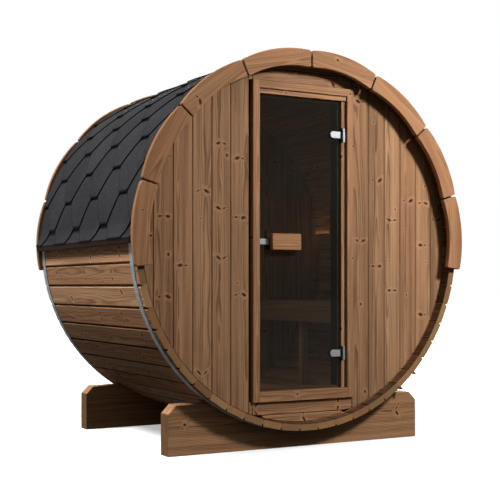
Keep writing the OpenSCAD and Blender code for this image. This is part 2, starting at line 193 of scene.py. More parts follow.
class Wiring:
    """Puts nodes into a shader tree and joins them."""

    def __init__(self, tree):
        self.tree = tree

    def feed(self, node, inputs):
        for key, value in (inputs or {}).items():
            if isinstance(value, Tone):
                self.tree.links.new(value.socket, node.inputs[key])
            else:
                node.inputs[key].default_value = value

    def put(self, kind, inputs=None, **settings):
        """Adds a node and gives its outputs, by number and by name."""
        node = self.tree.nodes.new(kind)
        for key, value in settings.items():
            setattr(node, key, value)
        self.feed(node, inputs)
        tones = [Tone(self, socket) for socket in node.outputs]
        return dict(enumerate(tones)) | {tone.socket.name: tone for tone in tones}

    def sum(self, how, a, b=0.0):
        return self.put("ShaderNodeMath", {0: a, 1: b}, operation=how)[0]

    def blend(self, share, a, b, how="MIX"):
        return self.put("ShaderNodeMix", {0: share, 6: a, 7: b}, data_type="RGBA", blend_type=how)[2]

    def noise(self, vector, scale=1.0, detail=2.0, rough=0.5, w=None):
        inputs = {"Vector": vector, "Scale": scale, "Detail": detail, "Roughness": rough}
        if w is None:
            return self.put("ShaderNodeTexNoise", inputs, noise_dimensions="3D")[0]
        return self.put("ShaderNodeTexNoise", inputs | {"W": w}, noise_dimensions="4D")[0]

    def attribute(self, name, output="Fac"):
        return self.put("ShaderNodeAttribute", attribute_name=name)[output]

    def spot(self):
        """Where a point of the surface is, in metres."""
        return self.put("ShaderNodeTexCoord")["Object"]


def new_group(name, takes):
    """A shader group with its own inputs, for a colour, a roughness and a height."""
    group = bpy.data.node_groups.new(name, "ShaderNodeTree")
    for label, value in takes.items():
        kind = "NodeSocketColor" if isinstance(value, tuple) else "NodeSocketFloat"
        group.interface.new_socket(label, in_out="INPUT", socket_type=kind).default_value = value
    for label, kind in (("Colour", "Color"), ("Roughness", "Float"), ("Height", "Float")):
        group.interface.new_socket(label, in_out="OUTPUT", socket_type="NodeSocket" + kind)
    w = Wiring(group)
    return group, w, w.put("NodeGroupInput")


def new_material(name, specular=None):
    material = bpy.data.materials.new(name)
    material.use_nodes = True
    shader = material.node_tree.nodes["Principled BSDF"]
    if specular is not None:
        shader.inputs["Specular IOR Level"].default_value = specular
    return material, Wiring(material.node_tree), shader


def finish_from(group, name, relief, depth, inputs, specular=None):
    """A material whose colour, roughness and relief come from a shader group."""
    material, w, shader = new_material(name, specular)
    surface = w.put("ShaderNodeGroup", inputs, node_tree=group)
    bump = w.put("ShaderNodeBump", {"Strength": relief, "Distance": depth, "Height": surface["Height"]})
    w.feed(shader, {"Base Color": surface["Colour"], "Roughness": surface["Roughness"], "Normal": bump[0]})
    return material, w, shader


def rgb(red, green, blue):
    """A colour written 0 to 255, as a shader takes it."""
    def linear(c):
        c /= 255
        return c / 12.92 if c <= 0.04045 else ((c + 0.055) / 1.055) ** 2.4
    return (linear(red), linear(green), linear(blue), 1.0)


# Painted shade, laid on the faces inside joints and on the staves' inner faces in the recess
PAINTED_SHADE = rgb(14, 9, 6)


def softwood_group():
    """Pine as it grows: rings round a pith that lies off the board, streaks of
    darker wood, knots in pairs and spikes with pale wood round them."""
    group, w, take = new_group("softwood", {
        "Pale": rgb(190, 145, 105), "Dark": rgb(130, 90, 62), "End": rgb(150, 122, 88),
        "Knot": rgb(52, 30, 20), "Rings": 0.005, "Knots": 1.0, "Pairs": 1.0, "Variety": 0.25})
    grain, shade, sawn = w.attribute("grain", "Vector"), w.attribute("shade"), w.attribute("sawn")
    seed = shade * 97.0
    split = w.put("ShaderNodeSeparateXYZ", {0: grain})
    along, across, deep = split[0], split[1], split[2]
    ragged = w.noise(grain, 130.0)
    wander = (ragged - 0.5) * 0.7

    def knots(per_metre, chance, paired):
        """Dark cores, their pale surrounds and the veins between a pair: oval pairs
        either side of the board's middle, or single round ones."""
        run = along * per_metre + seed * (7.3 if paired else 3.1)
        cells = w.put("ShaderNodeTexVoronoi", {"W": run, "Scale": 1.0}, voronoi_dimensions="1D")
        here = w.put("ShaderNodeSeparateColor", {0: cells["Color"]})
        there = w.sum("LESS_THAN", here[0], take["Pairs" if paired else "Knots"] * chance)
        there = there * (1.0 - sawn).clamped()
        beyond = (run - cells["W"]) / per_metre
        if paired:
            aside = abs(across) - (here[1] * 0.012 + 0.014)
            beyond = beyond - aside * ((here[2] - 0.4) * 1.4)
            uneven = w.sum("SIGN", across) * (here[1] - 0.5) + 1.0
            wide, tall = uneven * 0.0105, uneven * 0.0068
            vein = abs(beyond).ramp(0.0015, 0.0055, 1.0, 0.0) * abs(across).ramp(0.026, 0.05, 1.0, 0.0)
            vein = vein * there
        else:
            aside = across - (here[1] - 0.5) * 0.075
            wide, tall = here[2] * 0.0045 + 0.0035, here[2] * 0.0055 + 0.004
            vein = None
        a, b = aside / wide, beyond / tall
        near = (a * a + b * b).root() + wander
        return near.ramp(0.6, 1.3, 1.0, 0.0) * there, near.ramp(1.0, 3.6, 1.0, 0.0) * there, vein

    def stretched(lengthwise, crosswise, third=None):
        """The grain's own axes, each at its own scale."""
        return w.put("ShaderNodeCombineXYZ", {
            0: along * lengthwise, 1: across * crosswise, 2: third or deep * crosswise})[0]

    spike_core, spike_halo, vein = knots(2.6, 0.42, True)
    small_core, small_halo, _ = knots(2.4, 0.36, False)
    core = w.sum("MAXIMUM", spike_core, small_core)
    halo = (w.sum("MAXIMUM", spike_halo, small_halo) - core).clamped()
    # Annual rings round the pith
    drift = (w.noise(stretched(0.9, 6.0), 1.0, 3.0, 0.55, seed) - 0.5) * 0.055
    side = across - ((seed * 3.7).fract() * 0.09 - 0.045)
    under = deep + ((seed * 5.3).fract() * 0.05 + 0.03)
    out = (side * side + under * under).root() + drift + halo * 0.011
    ring = (out / take["Rings"]).fract()
    late = ring.ramp(0.25, 0.86) * ring.ramp(0.9, 1.0, 1.0, 0.0)
    # Broad streaks along the board, fine pores and threads of resin
    streak = w.noise(stretched(1.3, 42.0), 1.0, 4.0, 0.6, seed)
    pores = w.noise(stretched(30.0, 900.0), 1.0, 2.0, 0.6, seed)
    heart = w.noise(stretched(0.7, 12.0, seed))
    resin = w.noise(stretched(3.4, 95.0, seed)).ramp(0.68, 0.8)
    depth = late * 0.5 + streak.ramp(0.3, 0.72) * 0.5 + (pores - 0.5) * 0.55 + (heart - 0.5) * 0.6
    depth = (depth - halo * 0.3).clamped()
    depth = (depth + (resin * 0.55 + vein * 0.3)).clamped()
    colour = w.blend(depth, take["Pale"], take["Dark"])
    # End grain, knots, each board's own shade and painted shade on the faces inside the joints
    heartwood = (seed * 2.3).fract() * (take["Variety"] * 0.6)
    end_tone = (heartwood + (late + ragged.ramp(0.45, 0.65)) * 0.28).clamped()
    end_wood = w.blend(end_tone, take["End"], take["Dark"])
    colour = w.blend(w.sum("MAXIMUM", sawn) * 0.85, colour, end_wood)
    colour = w.blend(core * 0.9, colour, take["Knot"])
    colour = w.blend((seed * 1.7).fract() * take["Variety"], colour, rgb(255, 226, 210), "MULTIPLY")
    # Painted shade on the faces inside a joint
    colour = w.blend(w.sum("MAXIMUM", sawn * -1.0) * 0.93, colour, PAINTED_SHADE)
    lift = (shade - 0.5) * take["Variety"] + 1.0
    colour = w.put("ShaderNodeVectorMath", {0: colour, "Scale": lift}, operation="SCALE")[0]
    w.put("NodeGroupOutput", {
        "Colour": colour, "Roughness": depth * -0.06 + 0.58 + (sawn * 0.18 + pores * 0.16),
        "Height": late * 0.5 + (pores * 0.5 + core * 0.4)})
    return group


softwood = softwood_group()


def pine(name, pale, dark, end, knot=(50, 30, 20), rings=0.0055, knots=1.0, pairs=1.0, variety=0.22):
    """Oiled heat-treated pine with its own shades."""
    return finish_from(softwood, name, 0.25, 0.0012, {
        "Pale": rgb(*pale), "Dark": rgb(*dark), "End": rgb(*end), "Knot": rgb(*knot), "Rings": rings,
        "Knots": knots, "Pairs": pairs, "Variety": variety}, specular=0.05)[0]


FRONT_VIEW = Matrix(((1, 0, 0, 0), (0, 0, 1, 0), (0, 1, 0, 0), (0, 0, 0, 1)))  # u = x, v = z, w = y


def from_front(y, z=0.0):
    """Places an outline drawn as seen from the front, its thickness going back from y."""
    return Matrix.Translation((0, y, z)) @ FRONT_VIEW


BARREL_R, STAVE_T = 1.0, 0.04
stave_low, stave_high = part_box("staves_left")
BARREL_FRONT, BARREL_BACK = stave_low[1], stave_high[1]
BARREL_LEN = BARREL_BACK - BARREL_FRONT
AXIS_Z = (stave_low[2] + stave_high[2]) / 2

cradle_pine = pine("cradle_pine", (192, 145, 104), (104, 72, 50), (102, 77, 52), rings=0.007, knots=0.9)
CORNER, SADDLE_STEPS = 0.046, 40
for seed, end in ((11, "front"), (12, "rear")):
    low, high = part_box("cradle_" + end)
    planks = Timber("cradle_planks_" + end, seed)
    half = math.asin(math.sqrt(BARREL_R ** 2 - (high[2] - AXIS_Z) ** 2) / BARREL_R)
    outline = [(low[0], low[2]), (high[0], low[2]), (high[0], high[2] - CORNER), (high[0] - CORNER, high[2])]
    outline += [(BARREL_R * math.sin(a), AXIS_Z - BARREL_R * math.cos(a))
                for a in np.linspace(-half, half, SADDLE_STEPS)[::-1]]
    outline += [(low[0] + CORNER, high[2]), (low[0], high[2] - CORNER)]
    thick = (high[1] - low[1]) / 2
    for row, shade in enumerate((0.45, 0.65)):
        planks.cut(outline, thick, from_front(low[1] + row * thick), 0, soften=0.003, shade=shade)
    planks.done("cabin", "cradle_wood", ["cradle_" + end], cradle_pine)

# ---------------------------------------------------------------- staves
# The barrel is a ring of planed pine staves. Each is moulded with a tongue and a
# groove and bevelled along its outer edges, and is flat across its face, so the
# ring has as many sides as it has staves.

STAVES = 54
HALF_STAVE = math.pi / STAVES
SLOPE = math.tan(HALF_STAVE)


def stave_outline():
    outer, inner = BARREL_R * math.cos(HALF_STAVE), BARREL_R - STAVE_T
    bevel, open_joint, shut_joint, inside_joint = 0.0065, 0.0034, 0.0001, 0.0028
    edge = outer * SLOPE - open_joint
    side = [(edge - bevel, outer), (edge - bevel * 0.3, outer - bevel * 0.3), (edge, outer - bevel)]
    tongue, lip = outer - 0.012, inner + 0.005
    side += [(tongue * SLOPE - open_joint, tongue), (tongue * SLOPE - shut_joint, tongue)]
    side += [(lip * SLOPE - shut_joint, lip), (lip * SLOPE - inside_joint, lip)]
    side += [(inner * SLOPE - inside_joint, inner + 0.0012), (inner * SLOPE - inside_joint - 0.0012, inner)]
    return side + [(-u, v) for u, v in side[::-1]]


def round_the_axis(angle, y):
    """u runs round the barrel, v out from its axis and w along it."""
    turn = Matrix.Rotation(math.pi / 2 - angle, 4, "Y")
    return Matrix.Translation((0, y, AXIS_Z)) @ turn @ FRONT_VIEW


# Painted shade: past the end walls the staves' inner faces in the recess are
# painted dark where shade falls
stave_pine = pine("stave_pine", (212, 164, 123), (130, 91, 63), (150, 120, 80), knots=0.8, pairs=1.3,
                  variety=0.5)
w = Wiring(stave_pine.node_tree)
shader = w.tree.nodes["Principled BSDF"]
at = w.put("ShaderNodeSeparateXYZ", {0: w.spot()})
up = at[2] - AXIS_Z
painted_recess_shade = abs(at[1]).ramp(0.655, 0.67) * (at[0] * at[0] + up * up).root().ramp(0.962, 0.966, 0.78, 0.0)
bare = Tone(w, shader.inputs["Base Color"].links[0].from_socket)
w.feed(shader, {"Base Color": w.blend(painted_recess_shade, bare, PAINTED_SHADE)})
STAVE_GROUPS = (("bottom", 9), ("low_right", 6), ("right", 6), ("high_right", 6),
                ("top", 9), ("high_left", 6), ("left", 6), ("low_left", 6))
first = -STAVE_GROUPS[0][1] / 2
for seed, (side, count) in enumerate(STAVE_GROUPS, 40):
    ring = Timber("staves_" + side + "_planks", seed)
    for i in range(count):
        angle = -math.pi / 2 + (first + i + 0.5) * 2 * HALF_STAVE
        # The staves' faces inside their joints get painted shade
        ring.cut(stave_outline(), BARREL_LEN, round_the_axis(angle, BARREL_FRONT), 2, soften=0, joint=0)
    first += count
    ring.done("cabin", "stave_wood", ["staves_" + side], stave_pine)

# ---------------------------------------------------------------- hoops
# Two galvanised steel bands hold the staves together. The ends of each are bent
# out below the right side, and a threaded rod with two nuts draws them tight.


def metal_group():
    """Galvanised or brushed metal: broad dull patches and a fine grain."""
    group, w, take = new_group("metal wear", {
        "Bright": rgb(180, 184, 188), "Dull": rgb(130, 136, 142), "Patch": 60.0, "Smooth": 0.28})
    at = w.spot()
    fine = w.noise(at, 900.0, 2.0, 0.6)
    blotch = w.noise(at, take["Patch"], 3.0, 0.6).ramp(0.35, 0.65)
    w.put("NodeGroupOutput", {
        "Colour": w.blend(blotch * 0.75, take["Bright"], take["Dull"]),
        "Roughness": take["Smooth"] + (blotch * 0.14 + fine * 0.1), "Height": fine})
    return group


metal_wear = metal_group()


def steel(name, bright, dull, patch, smooth, metallic=1.0):
    material, _, shader = finish_from(metal_wear, name, 0.08, 0.0004, {
        "Bright": rgb(*bright), "Dull": rgb(*dull), "Patch": patch, "Smooth": smooth})
    shader.inputs["Metallic"].default_value = metallic
    return material


class Fitting:
    """Metal, glass or rubber pieces gathered into one mesh."""

    def __init__(self, name):
        self.name, self.block = name, bmesh.new()

    def add(self, other, place):
        other.transform(place)
        if place.determinant() < 0:
            bmesh.ops.reverse_faces(other, faces=other.faces)
        mesh = bpy.data.meshes.new("part")
        other.to_mesh(mesh)
        other.free()
        self.block.from_mesh(mesh)
        bpy.data.meshes.remove(mesh)

    def turned(self, profile, place, sides=32, closed=False):
        """A lathe-turned piece: (radius, height) points spun about its own Z."""
        part, rows = bmesh.new(), []
        around = [2 * math.pi * i / sides for i in range(sides)]
        for radius, z in profile:
            if radius < 1e-7:
                rows.append([part.verts.new((0, 0, z))] * sides)
            else:
                rows.append([part.verts.new((radius * math.cos(a), radius * math.sin(a), z)) for a in around])
        if closed:
            rows.append(rows[0])
        for low_row, high_row in zip(rows, rows[1:]):
            for i in range(sides):
                j = (i + 1) % sides
                corners = list(dict.fromkeys((low_row[i], low_row[j], high_row[j], high_row[i])))
                if len(corners) > 2:
                    part.faces.new(corners)
        bmesh.ops.recalc_face_normals(part, faces=part.faces)
        self.add(part, place)

    def pressed(self, outline, thick, place, soften=0.0006, steps=2):
        """A flat piece cut to an outline, with its sharp edges taken off."""
        self.add(sawn_block(outline, thick, soften, steps, 30), place)

    def done(self, body, slot, nodes, material):
        mesh = bpy.data.meshes.new(self.name)
        for face in self.block.faces:
            face.smooth = len(face.verts) < 5 and face.calc_area() < 2e-4
        for edge in self.block.edges:
            edge.smooth = edge.calc_face_angle(0) < math.radians(35)
        self.block.to_mesh(mesh)
        self.block.free()
        set_in_place(self.name, mesh, body, nodes, material)


hoop_zinc = steel("hoop_zinc", (172, 179, 184), (140, 147, 152), patch=26.0, smooth=0.45, metallic=0.5)
bolt_zinc = steel("bolt_zinc", (120, 126, 130), (80, 84, 88), patch=140.0, smooth=0.34)
TIGHT_ANGLE, ROD_LEN, ROD_R, THREAD_PITCH = math.radians(-48), 0.19, 0.005, 0.0015
LUG_MID, LUG_OUT, WASHER_R, WASHER_T, NUT_R, NUT_T = 0.02, 0.0643, 0.0102, 0.0016, 0.0088, 0.0074
for end in ("front", "rear"):
    frame["nodes"]["hoop_" + end].material_slots[0].material = hoop_zinc
    low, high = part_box("hoop_" + end)
    tight = Fitting("tightener_bolt_" + end)
    out = BARREL_R + LUG_MID
    middle = Vector((out * math.cos(TIGHT_ANGLE), (low[1] + high[1]) / 2,
                     AXIS_Z + out * math.sin(TIGHT_ANGLE)))
    along = Vector((-math.sin(TIGHT_ANGLE), 0, math.cos(TIGHT_ANGLE)))
    rod_place = Matrix.Translation(middle) @ along.to_track_quat("Z", "Y").to_matrix().to_4x4()
    thread = []
    for i in range(int(ROD_LEN / THREAD_PITCH) - 2):
        z = -ROD_LEN / 2 + THREAD_PITCH * (i + 1)
        thread += [(ROD_R - 0.0006, z - THREAD_PITCH / 2), (ROD_R, z)]
    tight.turned([(0, -ROD_LEN / 2), (ROD_R - 0.001, -ROD_LEN / 2)] + thread
                 + [(ROD_R - 0.001, ROD_LEN / 2), (0, ROD_LEN / 2)], rod_place, sides=16)
    for hand in (-1, 1):
        face_out = rod_place @ Matrix.Scale(hand, 4, (0, 0, 1)) @ Matrix.Translation((0, 0, LUG_OUT))
        tight.turned([(ROD_R, 0), (WASHER_R - 0.0004, 0), (WASHER_R, 0.0004), (WASHER_R, WASHER_T - 0.0004),
                      (WASHER_R - 0.0004, WASHER_T), (ROD_R, WASHER_T)], face_out, sides=28, closed=True)
        nut = [(NUT_R * math.cos(a), NUT_R * math.sin(a)) for a in np.linspace(0, 2 * math.pi, 7)[:-1]]
        tight.pressed(nut, NUT_T, face_out @ Matrix.Translation((0, 0, WASHER_T)), soften=0.0007)
    tight.done("cabin", "bolt_steel", ["tightener_" + end], bolt_zinc)

# ---------------------------------------------------------------- walls
# Both end walls are made of tongued and grooved pine boards, upright, with a
# bevel down each edge. They stand in a groove of the staves, so their ends follow
# the barrel. Over and under the door frame of the front wall the boards lie flat.

ROOM_R = BARREL_R - STAVE_T - 0.0006
PAST = 2.0  # further from the axis than any board reaches
wall_pine = pine("wall_pine", (178, 137, 102), (102, 73, 52), (120, 92, 62), knots=1.2, pairs=1.3,
                 variety=0.34)


def within_ring(x0, x1, z0=-PAST, z1=PAST, steps=10):
    """A board's outline, seen from the front, between x0 and x1 and between z0 and
    z1 about the axis, cut off where it meets the staves."""
    top, foot = [], []
    for x in np.linspace(max(x0, -ROOM_R), min(x1, ROOM_R), steps + 1):
        reach = math.sqrt(max(ROOM_R ** 2 - x ** 2, 0))
        up, down = min(reach, z1), max(-reach, z0)
        if up - down > 0.002:
            top.append((x, AXIS_Z + up))
            foot.append((x, AXIS_Z + down))
    return foot + top[::-1]


def wall_boards(node, seed, cuts, y, thick, upright=True):
    """cuts are the boards' (x0, x1, z0, z1), in metres from the axis, and how far
    each is set back. Tongues close the joints between whole boards."""
    wall, joint = Timber(node + "_boards", seed), 0.0003
    grain = 1 if upright else 0
    for x0, x1, z0, z1, back in cuts:
        edges = (x0 + joint, x1 - joint, z0, z1) if upright else (x0, x1, z0 + joint, z1 - joint)
        # The boards' faces inside the joints get painted shade
        wall.cut(within_ring(*edges), thick - back, from_front(y + back), grain,
                 soften=0.0048, steps=1, sharpest=25, joint=1 - grain)
    whole = [cut for cut in cuts if not upright or cut[3] - cut[2] == 2 * PAST]
    k = 0 if upright else 2
    for at in sorted({cut[k] for cut in whole} & {cut[k + 1] for cut in whole}):
        tongue = (at - 0.005, at + 0.005)
        # The tongues' front faces, seen in the joints, get painted shade
        wall.cut(within_ring(*(tongue if upright else whole[0][:2] + tongue)), 0.008,
                 from_front(y + 0.016), grain, soften=0, joint=2)
    wall.done("cabin", "wall_wood", [node], wall_pine)


frame_low, frame_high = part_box("door_frame_left")
frame_half = -frame_low[0]
frame_foot, frame_top = frame_low[2] - AXIS_Z, frame_high[2] - AXIS_Z
low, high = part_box("front_wall_left")
WALL_FRONT, WALL_T, BOARD, SHADOW_GAP, GAP_DEEP = low[1], high[1] - low[1], 0.109, 0.018, 0.03
x = -frame_half - SHADOW_GAP
cuts = [(x, -frame_half, frame_foot, frame_top, GAP_DEEP), (x, -frame_half, -PAST, frame_foot, 0),
        (x, -frame_half, frame_top, PAST, 0)]
while x > -ROOM_R + 0.01:
    cuts.append((x - BOARD, x, -PAST, PAST, 0))
    x -= BOARD
wall_boards("front_wall_left", 61, cuts, WALL_FRONT, WALL_T)
cuts, x = [], frame_half + 0.0015
while x < ROOM_R - 0.01:
    cuts.append((x, x + BOARD, -PAST, PAST, 0))
    x += BOARD
wall_boards("front_wall_right", 62, cuts, WALL_FRONT, WALL_T)
HEADER_JOINT, SILL_JOINT, FRAME_GAP = 0.918, -0.912, 0.0003
for node, seed, levels in (("front_wall_header", 63, (frame_top + FRAME_GAP, HEADER_JOINT, PAST)),
                           ("front_wall_sill", 64, (frame_foot - FRAME_GAP, SILL_JOINT, -PAST))):
    cuts = [(-frame_half, frame_half, *sorted(pair), 0) for pair in zip(levels, levels[1:])]
    wall_boards(node, seed, cuts, WALL_FRONT, WALL_T, upright=False)
low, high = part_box("back_wall")
cuts = [(x * BOARD, (x + 1) * BOARD, -PAST, PAST, 0) for x in range(-9, 9)]
wall_boards("back_wall", 65, cuts, low[1], high[1] - low[1])

# ---------------------------------------------------------------- floor
# Planed pine boards run from the door to the back wall, with narrow gaps between
# them. The outer two are bevelled to the staves.

floor_pine = pine("floor_pine", (196, 152, 112), (142, 102, 72), (160, 128, 92), variety=0.55)


def room_reach(z):
    """How far from the middle the room's side is at a height."""
    return math.sqrt(ROOM_R ** 2 - (z - AXIS_Z) ** 2)


low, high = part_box("floor")
FLOOR_BOARD, FLOOR_GAP, SIDE_GAP = 0.098, 0.009, 0.001
floor = Timber("floor_boards", 71)
count = int(2 * room_reach(low[2]) / FLOOR_BOARD)
wide_edge, narrow_edge = room_reach(high[2]) - SIDE_GAP, room_reach(low[2]) - SIDE_GAP
for i in range(count):
    x0 = (i - count / 2) * FLOOR_BOARD + FLOOR_GAP / 2
    x1 = (i + 1 - count / 2) * FLOOR_BOARD - FLOOR_GAP / 2
    left = [(x0, high[2]), (x0, low[2])] if i else [(-wide_edge, high[2]), (-narrow_edge, low[2])]
    right = [(x1, low[2]), (x1, high[2])] if i < count - 1 else [(narrow_edge, low[2]), (wide_edge, high[2])]
    floor.cut(left + right, high[1] - low[1], from_front(low[1]), 2, soften=0.0025)
floor.done("cabin", "floor_wood", ["floor"], floor_pine)

# ---------------------------------------------------------------- bench
# A bench of pine slats runs the length of the room on the right. It hangs on the
# staves and the walls, with a deep front board and one square leg.

bench_pine = pine("bench_pine", (198, 156, 118), (146, 106, 76), (165, 132, 96), knots=0.7, pairs=0.0)


def box_outline(x0, x1, z0, z1):
    return [(x0, z0), (x1, z0), (x1, z1), (x0, z1)]


low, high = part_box("bench_seat")
SEAT_SLAT, SEAT_GAP = 0.09, 0.01
seat = Timber("bench_seat_slats", 81)
slats = round((high[0] - low[0]) / (SEAT_SLAT + SEAT_GAP))
pitch = (high[0] - low[0] + SEAT_GAP) / slats
for i in range(slats):
    x0 = low[0] + i * pitch
    outline = box_outline(x0, x0 + pitch - SEAT_GAP, low[2], high[2])
    if i == slats - 1:
        outline[1:3] = [(room_reach(z) - SIDE_GAP, z) for z in (low[2], high[2])]
    seat.cut(outline, high[1] - low[1], from_front(low[1]), 2, soften=0.003)
seat.done("cabin", "bench_wood", ["bench_seat"], bench_pine)
low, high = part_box("bench_front_board")
apron = Timber("bench_front_plank", 82)
apron.cut(box_outline(low[0], high[0], low[2], high[2]), high[1] - low[1], from_front(low[1]), 2,
          soften=0.004)
apron.done("cabin", "bench_wood", ["bench_front_board"], bench_pine)
low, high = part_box("bench_leg")
leg = Timber("bench_leg_post", 83)
foot_z = AXIS_Z - math.sqrt(ROOM_R ** 2 - high[0] ** 2)
leg.cut([(low[0], low[2]), (room_reach(low[2]) - 0.0005, low[2]), (high[0], foot_z + 0.0005),
         (high[0], high[2]), (low[0], high[2])], high[1] - low[1], from_front(low[1]), 1, soften=0.0015)
leg.done("cabin", "bench_wood", ["bench_leg"], bench_pine)

# ---------------------------------------------------------------- backrest
# Five boards with gaps between them, the outer two wider, lean on three upright
# posts that are cut to the staves.

low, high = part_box("backrest_boards")
BACK_WIDE, BACK_NARROW, BACK_GAP = 0.089, 0.05, 0.01
rest = Timber("backrest_slats", 91)
z = low[2]
for tall in (BACK_WIDE, BACK_NARROW, BACK_NARROW, BACK_NARROW, BACK_WIDE):
    rest.cut(box_outline(low[0], high[0], z, z + tall), high[1] - low[1], from_front(low[1]), 2,
             soften=0.0035)
    z += tall + BACK_GAP
rest.done("cabin", "bench_wood", ["backrest_boards"], bench_pine)


def cut_to_the_staves(x, z0, z1):
    """The outline of a board on edge between x and the staves."""
    curve = [(room_reach(z) - 0.0005, z) for z in np.linspace(z0, z1, 9)]
    return [(x, z0)] + curve + [(x, z1)]


low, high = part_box("backrest_posts")
POST_W = 0.04
posts = Timber("backrest_uprights", 92)
for i in range(3):
    y = low[1] + i * (high[1] - low[1] - POST_W) / 2
    posts.cut(cut_to_the_staves(low[0], low[2], high[2]), POST_W, from_front(y), 1, soften=0.0015)
posts.done("cabin", "bench_wood", ["backrest_posts"], bench_pine)

# ---------------------------------------------------------------- lamp screen
# Four slats and an end cheek make a screen across the corner between the back wall
# and the staves, over the backrest. The lamp behind it gives a warm light, and
# daylight falls in through the glass door.

low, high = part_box("lamp_screen")
LAMP_SLATS, SLAT_T, SLAT_H = 4, 0.012, 0.048
screen = Timber("lamp_screen_slats", 95)
pitch = (high[2] - low[2] - SLAT_H) / (LAMP_SLATS - 1)
for i in range(LAMP_SLATS):
    z = low[2] + i * pitch
    screen.cut(box_outline(low[0], low[0] + SLAT_T, z, z + SLAT_H), high[1] - low[1], from_front(low[1]), 2)
screen.cut(cut_to_the_staves(low[0] + SLAT_T, low[2], high[2]), SLAT_T, from_front(low[1]), 1, soften=0.0015)
screen.done("cabin", "bench_wood", ["lamp_screen"], bench_pine)


def new_lamp(name, kind, energy):
    lamp = bpy.data.objects.new(name, bpy.data.lights.new(name, kind))
    lamp.data.energy = energy
    bpy.context.collection.objects.link(lamp)
    return lamp


def room_lamp(name, kind, energy, colour, at, size, turn=(0, 0, 0), long=2.4):
    """A lamp that isn't seen itself; long is how many times its width is its length."""
    lamp = new_lamp(name, kind, energy)
    lamp.data.color, lamp.data.specular_factor = colour, 0.0
    if kind == "AREA":
        lamp.data.shape, lamp.data.size, lamp.data.size_y = "RECTANGLE", size, long * size
    else:
        lamp.data.shadow_soft_size = size
    lamp.location, lamp.rotation_euler = at, [math.radians(a) for a in turn]
    lamp.visible_camera = lamp.visible_glossy = False


WARM, DUSK, DAY = (1.0, 0.66, 0.36), (1.0, 0.86, 0.72), (0.84, 1.0, 1.12)
room_lamp("sauna_lamp", "POINT", 0.2, WARM, (low[0] + 0.035, low[1] + 0.04, low[2] + 0.035), 0.015)
room_lamp("sauna_lamp_spill", "POINT", 0.04, WARM, (low[0] - 0.07, high[1] - 0.11, low[2] + 0.09), 0.03)
room_lamp("sauna_lamp_rim", "AREA", 0.018, WARM, (low[0] - 0.014, low[1] + 0.088, low[2] + 0.006),
          0.014, (0, -90, 0), long=12)
room_lamp("door_daylight", "AREA", 1.0, DAY, (-0.02, -0.34, AXIS_Z + 0.1), 0.42, (60, 0, 0))
room_lamp("aisle_light", "AREA", 1.3, DAY, (-0.12, 0.1, AXIS_Z + 0.72), 0.25)
room_lamp("floor_light", "AREA", 0.34, DUSK, (0.1, -0.02, AXIS_Z - 0.47), 0.16)

# ---------------------------------------------------------------- door frame
# A pine frame stands a little proud of the front wall. Its uprights and rails are
# rebated for the glass, the head has a stepped moulding, and a batten beside the
# right upright carries the hinges.

frame_pine = pine("frame_pine", (182, 137, 100), (116, 83, 58), (136, 104, 72), knots=3.0, pairs=0.0,
                  variety=0.12)
STILE, STOP_BACK, STOP_LAP, RAIL, STEP_H, STEP_BACK = 0.04, 0.04, 0.014, 0.052, 0.026, 0.01
low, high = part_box("door_frame_right")
face_y, frame_back, foot_z, head_z = low[1], high[1], low[2], high[2]
stile_x, outer_x, stop_y = high[0] - STILE, high[0], low[1] + STOP_BACK
right_lap = stile_x - low[0]
opening = (foot_z + RAIL, head_z - STILE - STEP_H)
side_view = Matrix(((0, 0, 1, 0), (1, 0, 0, 0), (0, 1, 0, 0), (0, 0, 0, 1)))  # u = y, v = z, w = x
for side, hand, lap in (("left", -1, STOP_LAP), ("right", 1, right_lap)):
    upright = Timber("door_frame_" + side + "_upright", 101 + hand)
    outline = [(stile_x, face_y), (outer_x, face_y), (outer_x, frame_back),
               (stile_x - lap, frame_back), (stile_x - lap, stop_y), (stile_x, stop_y)]
    place = Matrix.Translation((0, 0, foot_z)) @ Matrix.Scale(hand, 4, (1, 0, 0))
    upright.cut(outline, head_z - foot_z, place, 2, soften=0.0016, shade=0.4, across=0)
    upright.done("cabin", "frame_wood", ["door_frame_" + side], frame_pine)


def frame_rail(name, seed, node, front, stop):
    """A rail: its front outline between the uprights, its stop's between their laps."""
    rail = Timber(name, seed)
    rail.cut(front, 2 * stile_x, Matrix.Translation((-stile_x, 0, 0)) @ side_view, 2, soften=0.0008,
             shade=0.55)
    left, right = -stile_x + STOP_LAP + 0.0004, stile_x - right_lap - 0.0004
    rail.cut(stop, right - left, Matrix.Translation((left, 0, 0)) @ side_view, 2, soften=0.0008, shade=0.5)
    rail.done("cabin", "frame_wood", [node], frame_pine)


frame_rail("door_frame_head_rail", 103, "door_frame_head",
           [(face_y, head_z - STILE), (face_y + STEP_BACK, head_z - STILE), (face_y + STEP_BACK, opening[1]),
            (stop_y, opening[1]), (stop_y, head_z), (face_y, head_z)],
           box_outline(stop_y, frame_back, opening[1] - STOP_LAP, head_z))
frame_rail("door_frame_foot_rail", 104, "door_frame_sill",
           box_outline(face_y, stop_y, foot_z, opening[0]),
           box_outline(stop_y, frame_back, foot_z, opening[0] + STOP_LAP))
low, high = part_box("hinge_batten")
batten = Timber("hinge_batten_strip", 105)
batten.cut(box_outline(low[0], high[0], low[1], high[1]), high[2] - low[2],
           Matrix.Translation((0, 0, low[2])), 2, shade=0.6)
batten.done("cabin", "frame_wood", ["hinge_batten"], frame_pine)
rubber, w, shader = new_material("gasket_rubber", specular=0.1)
speck = w.noise(w.spot(), 700.0)
w.feed(shader, {"Base Color": w.blend(speck, rgb(8, 8, 8), rgb(18, 17, 17)),
                "Roughness": speck.ramp(0.3, 0.7, 0.55, 0.75)})
# Painted shade: black rubber strips fill the gaps by the glass and line the stops' inner faces
shade_strips = Fitting("door_seals")
SHADE_STRIP_GAP = 0.0005
